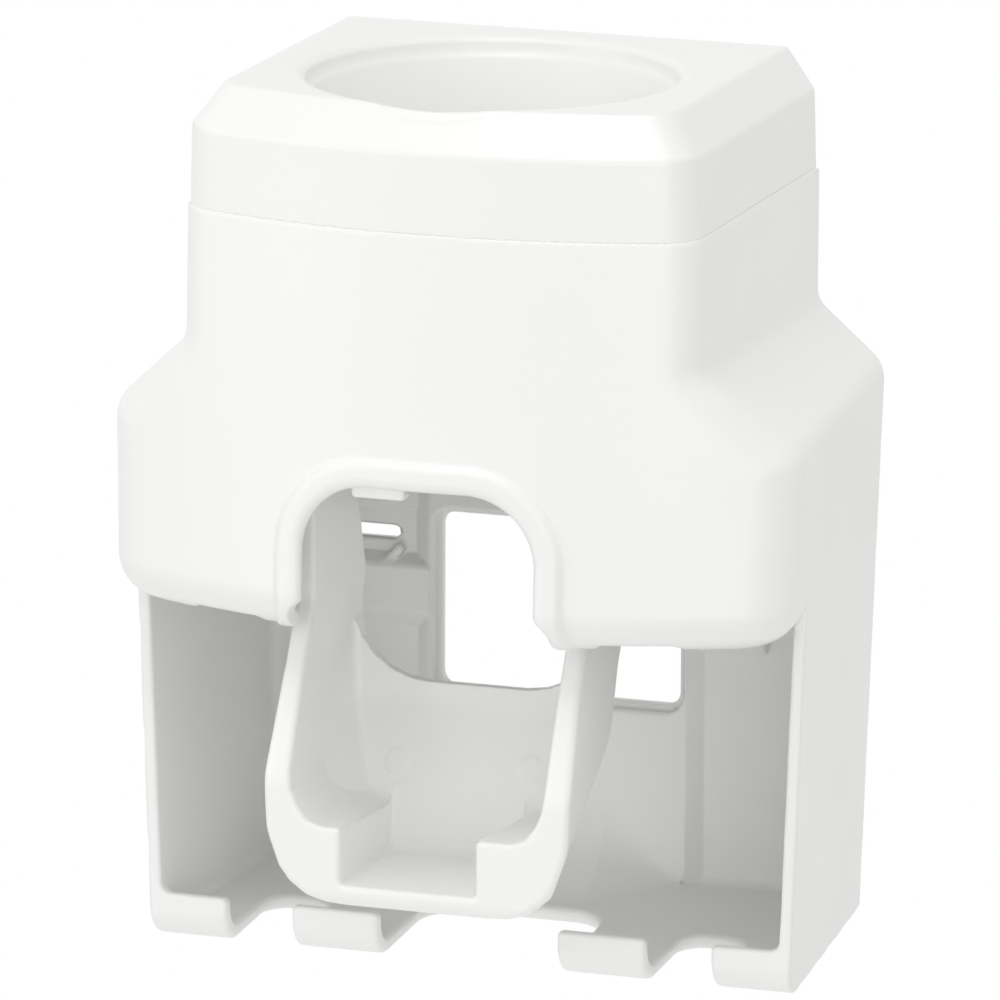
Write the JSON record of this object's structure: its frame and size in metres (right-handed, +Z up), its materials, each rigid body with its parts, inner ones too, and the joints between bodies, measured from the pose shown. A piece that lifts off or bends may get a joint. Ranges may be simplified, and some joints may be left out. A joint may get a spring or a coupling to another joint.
{
  "type": "toothpaste dispenser",
  "caption": "Wall-hung toothpaste dispenser: bowed hood over an open brush rack, lift-off cover with a round tube well, and a swinging lever that works a hidden piston pump.",
  "frame": {"origin": "middle of the flat back face on the wall plane, halfway up the object", "axes": "+X to the right seen from the front, +Y into the wall, +Z up; the bowed front faces -Y"},
  "size_m": [0.1334, 0.0864, 0.1668],
  "materials": {
    "white_gloss": "gloss moulded ABS",
    "inner_white": "plain moulded",
    "acetal": "satin acetal",
    "steel": "bright zinc or stainless",
    "black_rubber": "moulded rubber",
    "red_rubber": "moulded silicone"
  },
  "bodies": {
    "housing": {"housing": "white_gloss", "pivot_pins": "steel", "pivot_washers": "acetal", "pump_frame": "inner_white", "frame_screws": "steel", "pump_body": "inner_white", "body_screws": "steel", "cylinder_cap": "inner_white", "cap_screws": "steel", "return_spring": "steel", "inlet_valve": "red_rubber", "outlet_valve": "red_rubber", "nozzle": "inner_white", "tube_socket": "inner_white", "socket_seal": "black_rubber", "inlet_gasket": "black_rubber"},
    "lever": {"brush_lever": "white_gloss"},
    "plunger": {"plunger": "acetal", "piston": "acetal", "piston_seal": "black_rubber", "piston_screw": "steel"},
    "cover": {"top_cover": "white_gloss"}
  },
  "joints": [
    {"name": "lever_swing", "type": "hinge", "parent": "housing", "child": "lever", "pos_m": [0, -0.059, 0.0383], "axis": [1, 0, 0], "range_deg": [0, 12]},
    {"name": "plunger_slide", "type": "slide", "parent": "housing", "child": "plunger", "axis": [0, 1, 0], "range_m": [0, 0.0037], "stiffness_N_per_m": 809, "springref_m": -0.0033, "deforming": ["return_spring"]},
    {"name": "cover_lift", "type": "slide", "parent": "housing", "child": "cover", "axis": [0, 0, 1], "range_m": [0, 0.03]}
  ],
  "couplings": [
    {"joint": "plunger_slide", "follows": "lever_swing", "m_per_rad": 0.01735}
  ]
}
